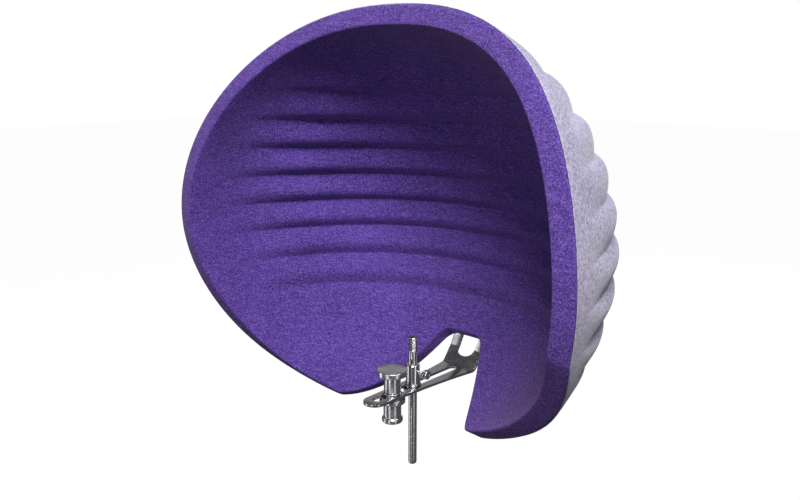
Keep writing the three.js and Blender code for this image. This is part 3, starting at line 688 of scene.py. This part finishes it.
# Tool marks of turning round an axis: noise read only by the distance from the axis, the square
# root of x^2 + y^2, and by the height, so that it forms rings. Gives that distance too.
def turningGroup():
    group, given, made = nodeGroup("turningMarks", [
        (vectorKind, "Place", (0, 0, 0)), (numberKind, "Fineness", 2600.0),
        (numberKind, "Wear Scale", 160.0),
    ], [(numberKind, "Rings"), (numberKind, "Wear"), (numberKind, "Radius")])
    split = addNode(group, "ShaderNodeSeparateXYZ", {0: given.outputs["Place"]})
    across = mathNode(group, "ADD", mathNode(group, "POWER", split.outputs[0], 2.0),
                      mathNode(group, "POWER", split.outputs[1], 2.0))
    radius = mathNode(group, "SQRT", across)
    slowed = mathNode(group, "MULTIPLY", split.outputs[2], 0.12)   # wider rings along the sides
    joined = addNode(group, "ShaderNodeCombineXYZ", {0: radius, 1: slowed, 2: 0.0})
    rings = addNode(group, "ShaderNodeTexNoise", {
        "Vector": joined.outputs[0], "Scale": given.outputs["Fineness"],
        "Detail": 2.0, "Roughness": 0.6})
    wear = addNode(group, "ShaderNodeTexNoise", {
        "Vector": given.outputs["Place"], "Scale": given.outputs["Wear Scale"],
        "Detail": 5.0, "Roughness": 0.65})
    group.links.new(rings.outputs["Fac"], made.inputs["Rings"])
    group.links.new(wear.outputs["Fac"], made.inputs["Wear"])
    group.links.new(radius, made.inputs["Radius"])
    return group


# Brushing along a plate: noise drawn out along Y, with smudges and fine scratches.
def brushingGroup():
    group, given, made = nodeGroup("brushedLines", [
        (vectorKind, "Place", (0, 0, 0)), (numberKind, "Line Scale", 900.0),
    ], [(numberKind, "Lines"), (numberKind, "Smudges")])
    placed = addNode(group, "ShaderNodeMapping", {
        "Vector": given.outputs["Place"], "Scale": (1, 0.03, 0.5)})
    lines = addNode(group, "ShaderNodeTexNoise", {
        "Vector": placed.outputs[0], "Scale": given.outputs["Line Scale"],
        "Detail": 3.0, "Roughness": 0.6})
    smudges = noiseValue(group, given.outputs["Place"], 55.0, 5, 0.6)
    group.links.new(lines.outputs["Fac"], made.inputs["Lines"])
    group.links.new(smudges, made.inputs["Smudges"])
    return group


feltFibres = feltFibreGroup()
turningMarks = turningGroup()
brushedLines = brushingGroup()


# Starts a material: its tree, its shader and its Object coordinates, moved by a shift.
def newFinish(name, shift=(0, 0, 0)):
    finish = bpy.data.materials.new(name)
    finish.use_nodes = True
    tree = finish.node_tree
    shader = tree.nodes["Principled BSDF"]
    place = addNode(tree, "ShaderNodeTexCoord", {}).outputs["Object"]
    moved = addNode(tree, "ShaderNodeMapping", {"Vector": place, "Location": shift})
    return finish, tree, shader, moved.outputs[0]


feltLooks = {
    "purpleFelt": {
        "ground": (0.062, 0.028, 0.235, 1), "light": (0.31, 0.18, 0.64, 1),
        "dark": (0.013, 0.005, 0.080, 1),
        "matScale": 660, "lightAmount": 0.8, "darkAmount": 0.95, "streaks": 0.5,
        "sheen": 0.14, "sheenTint": (1, 0.68, 0.85, 1), "bump": 1.0,
    },
    "greyFelt": {
        "ground": (0.36, 0.33, 0.46, 1), "light": (0.62, 0.60, 0.74, 1),
        "dark": (0.09, 0.075, 0.15, 1),
        "matScale": 330, "lightAmount": 0.7, "darkAmount": 1.0, "streaks": 0.1,
        "sheen": 0.25, "sheenTint": (0.95, 0.93, 1, 1), "bump": 0.5,
    },
}


# Felt: fibre colour and relief from the shared group, matt, with a soft nap.
def feltFinish(name):
    look = feltLooks[name]
    finish, tree, shader, place = newFinish(name)
    fibres = addNode(tree, "ShaderNodeGroup", {}, node_tree=feltFibres)
    for label, value in (("Ground", look["ground"]), ("Light Fibre", look["light"]),
                         ("Dark Fibre", look["dark"]), ("Mat Scale", look["matScale"]),
                         ("Light Amount", look["lightAmount"]), ("Dark Amount", look["darkAmount"]),
                         ("Streaks", look["streaks"])):
        fibres.inputs[label].default_value = value
    tree.links.new(place, fibres.inputs["Place"])
    tree.links.new(fibres.outputs["Color"], shader.inputs["Base Color"])
    rough = mapValue(tree, fibres.outputs["Height"], 0.3, 0.7, 1.0, 0.85)
    tree.links.new(rough, shader.inputs["Roughness"])
    relief = addNode(tree, "ShaderNodeBump", {
        "Strength": look["bump"], "Distance": 0.0012, "Height": fibres.outputs["Height"]})
    tree.links.new(relief.outputs[0], shader.inputs["Normal"])
    shader.inputs["Specular IOR Level"].default_value = 0.15
    shader.inputs["Sheen Weight"].default_value = look["sheen"]
    shader.inputs["Sheen Roughness"].default_value = 0.45
    shader.inputs["Sheen Tint"].default_value = look["sheenTint"]
    return finish


# Turned steel: rings of tool marks in the gloss and relief, and a little handling wear. Painted
# shade darkens the colour between two distances from the axis, in the thread grooves. The gloss is
# drawn out across the tool marks, with the tangent as the cross product of the place and the axis.
def turnedFinish(name, shift, shade, rough, grooveShadeRadii=(0, 0.001)):
    finish, tree, shader, place = newFinish(name, shift)
    marks = addNode(tree, "ShaderNodeGroup", {"Place": place}, node_tree=turningMarks)
    dark, light = [tuple(c * k for c in shade) + (1,) for k in (0.92, 1.0)]
    tone = mapValue(tree, marks.outputs["Rings"], 0.35, 0.65)
    steel = mixColours(tree, tone, dark, light)
    unshadedMask = mapValue(tree, marks.outputs["Radius"], *grooveShadeRadii)
    # painted shade: near-black colour inside the given distances from the axis, in the thread
    # grooves
    shaded = mixColours(tree, unshadedMask, (0.05, 0.05, 0.055, 1), steel)
    tree.links.new(shaded, shader.inputs["Base Color"])
    rings = mapValue(tree, marks.outputs["Rings"], 0.3, 0.7, rough * 0.85, rough * 1.15)
    worn = mapValue(tree, marks.outputs["Wear"], 0.5, 0.75, 0.0, 0.06)
    gloss = mathNode(tree, "ADD", rings, worn)
    tree.links.new(gloss, shader.inputs["Roughness"])
    relief = addNode(tree, "ShaderNodeBump", {
        "Strength": 0.02, "Distance": 0.0001, "Height": marks.outputs["Rings"]})
    tree.links.new(relief.outputs[0], shader.inputs["Normal"])
    around = addNode(
        tree, "ShaderNodeVectorMath", {0: place, 1: (0, 0, 1)}, operation="CROSS_PRODUCT")
    tree.links.new(around.outputs[0], shader.inputs["Tangent"])
    shader.inputs["Anisotropic"].default_value = 0.6
    shader.inputs["Anisotropic Rotation"].default_value = 0.25
    shader.inputs["Metallic"].default_value = 1
    return finish


# Flat steel, brushed along its length.
def brushedFinish(name, shade, rough):
    finish, tree, shader, place = newFinish(name)
    lines = addNode(tree, "ShaderNodeGroup", {"Place": place}, node_tree=brushedLines)
    dark, light = [tuple(c * k for c in shade) + (1,) for k in (0.78, 1.0)]
    tone = mapValue(tree, lines.outputs["Lines"], 0.3, 0.7)
    tree.links.new(mixColours(tree, tone, dark, light), shader.inputs["Base Color"])
    brushed = mapValue(tree, lines.outputs["Lines"], 0.3, 0.7, rough * 0.7, rough * 1.3)
    gloss = mathNode(
        tree, "ADD", brushed, mapValue(tree, lines.outputs["Smudges"], 0.5, 0.75, 0.0, 0.12))
    tree.links.new(gloss, shader.inputs["Roughness"])
    relief = addNode(tree, "ShaderNodeBump", {
        "Strength": 0.15, "Distance": 0.0002, "Height": lines.outputs["Lines"]})
    tree.links.new(relief.outputs[0], shader.inputs["Normal"])
    shader.inputs["Metallic"].default_value = 1
    return finish


steelShade = (0.62, 0.60, 0.64)
purpleFelt = feltFinish("purpleFelt")
greyFelt = feltFinish("greyFelt")
stemSteel = turnedFinish("turnedStemSteel", (0, 0, 0), steelShade, 0.3)
# the post's thread grooves get painted shade in their colour
postSteel = turnedFinish(
    "turnedPostSteel", (0, -post["y"] * mm, 0), steelShade, 0.2, grooveShadeRadii=(0.0038, 0.0044))
armSteel = brushedFinish("brushedArmSteel", (0.52, 0.50, 0.54), 0.24)
platedSteel = brushedFinish("platedSteel", (0.48, 0.48, 0.52), 0.32)


def dress(piece, finish):
    piece.data.materials.clear()
    piece.data.materials.append(finish)


dress(innerLiner, purpleFelt)
dress(outerSkin, greyFelt)
innerLiner.visible_glossy = outerSkin.visible_glossy = False   # keeps the felt out of the steel
for piece in (turnedAdapter, turnedKnob, knobWasher):
    dress(piece, stemSteel)
for piece in (threadedPost, knurledScrew, steelPieces["post_collar"]):
    dress(piece, postSteel)
dress(steelPieces["support_arm"], armSteel)
for node in ("arm_bolt_left", "arm_bolt_right", "arm_washer_left", "arm_washer_right"):
    dress(steelPieces[node], armSteel)
for node in ("collar_nut", "slot_guide"):
    dress(steelPieces[node], platedSteel)
for node in ("clamp_stud", "backing_plate", "weld_nut_left", "weld_nut_right"):
    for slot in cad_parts[node].material_slots:
        slot.material = platedSteel
print("finishes on")


studio = {
    "floorLevel": -460, "floorSize": 9000, "floorGlow": 0.97,
    "worldLight": 0.06, "worldSeen": 1.0, "worldGloss": 0.1,
}
half, level = studio["floorSize"], studio["floorLevel"]
floor = putMesh("studioFloor", [[-half, -half, level], [half, -half, level], [half, half, level],
                                [-half, half, level]], [[0, 1, 2, 3]])
floorPaint = bpy.data.materials.new("floorPaint")
floorPaint.use_nodes = True
floorShader = floorPaint.node_tree.nodes["Principled BSDF"]
floorShader.inputs["Base Color"].default_value = (0.02, 0.02, 0.02, 1)
floorShader.inputs["Roughness"].default_value = 0.9
floorShader.inputs["Emission Color"].default_value = (1, 1, 1, 1)
floorShader.inputs["Emission Strength"].default_value = studio["floorGlow"]
dress(floor, floorPaint)
floor.visible_diffuse = floor.visible_glossy = False

# Soft lights as (place, aimed at, width, height, power), in metres and watts
lamps = {
    "keyLight": ((1.15, -1.15, 1.95), (0, 0.1, 0.15), 0.9, 0.9, 78),
    "fillLight": ((-0.5, -1.9, 0.7), (0, 0, 0.2), 1.2, 1.2, 5),
    "topLight": ((0.7, 0.6, 2.1), (0.1, 0.1, 0.2), 0.8, 0.8, 18),
    "sideLight": ((2.0, -0.1, 0.8), (0, 0.1, 0.25), 0.8, 1.0, 1.5),
    "lowLight": ((0.9, -1.2, -0.1), (0.25, -0.1, 0.1), 0.8, 0.6, 3),
    "backLight": ((-1.2, 2.0, 1.7), (0, 0.1, 0.2), 1.3, 1.3, 44),
}
for name, (place, target, width, height, power) in lamps.items():
    light = bpy.data.lights.new(name, "AREA")
    light.shape = "RECTANGLE"
    light.size, light.size_y, light.energy = width, height, power
    lamp = bpy.data.objects.new(name, light)
    bpy.context.scene.collection.objects.link(lamp)
    lamp.location = place
    lamp.rotation_euler = (Vector(target) - Vector(place)).to_track_quat("-Z", "Y").to_euler()
    lamp.visible_glossy = name in ("keyLight", "topLight")   # the others only light the felt

# White boards that only the steel reflects, as (place, width, height, glow)
boards = {
    "leftBoard": ((-0.9, -0.75, 0.1), 0.3, 1.6, 2.2),
    "middleBoard": ((0.15, -1.3, 0.1), 0.3, 1.4, 2.6),
    "rightBoard": ((1.25, -0.25, 0.1), 0.3, 1.4, 1.8),
    "highBoard": ((-0.9, 0.9, 0.6), 1.0, 0.5, 0.3),
}
for name, (place, width, height, glow) in boards.items():
    boardPaint = bpy.data.materials.new(name + "Paint")
    boardPaint.use_nodes = True
    boardShader = boardPaint.node_tree.nodes["Principled BSDF"]
    boardShader.inputs["Base Color"].default_value = (0.01, 0.01, 0.012, 1)
    boardShader.inputs["Emission Color"].default_value = (1, 1, 1, 1)
    boardShader.inputs["Emission Strength"].default_value = glow
    away = Vector((-place[0], -place[1], 0)).normalized()
    side = Vector((-away.y, away.x, 0)) * width / 2
    up = Vector((0, 0, height / 2))
    corners = [Vector(place) + a * side + b * up for a, b in ((-1, -1), (1, -1), (1, 1), (-1, 1))]
    board = putMesh(name, [list(corner / mm) for corner in corners], [[0, 1, 2, 3]])
    dress(board, boardPaint)
    board.visible_camera = board.visible_diffuse = board.visible_shadow = False
    board.visible_transmission = board.visible_volume_scatter = False

world = bpy.data.worlds.new("studio")
bpy.context.scene.world = world
world.use_nodes = True
sky = world.node_tree
background = sky.nodes["Background"]
background.inputs["Color"].default_value = (1, 1, 1, 1)
rays = addNode(sky, "ShaderNodeLightPath", {}).outputs
strength = mapValue(sky, rays["Is Camera Ray"], 0, 1, studio["worldLight"], studio["worldSeen"])
glossy = mapValue(sky, rays["Is Glossy Ray"], 0, 1, 0, studio["worldGloss"])
strength = mathNode(sky, "MAXIMUM", strength, glossy)
sky.links.new(strength, background.inputs["Strength"])

camera = bpy.data.objects.new("studioCamera", bpy.data.cameras.new("studioCamera"))
bpy.context.scene.collection.objects.link(camera)
camera.location = (0.6020, -0.6450, 0.4013)
camera.rotation_euler = Euler((radians(76.8), 0, radians(42.48)))
camera.data.lens = 38.65
camera.data.sensor_width = 36
bpy.context.scene.camera = camera
bpy.context.scene.view_settings.view_transform = "Standard"
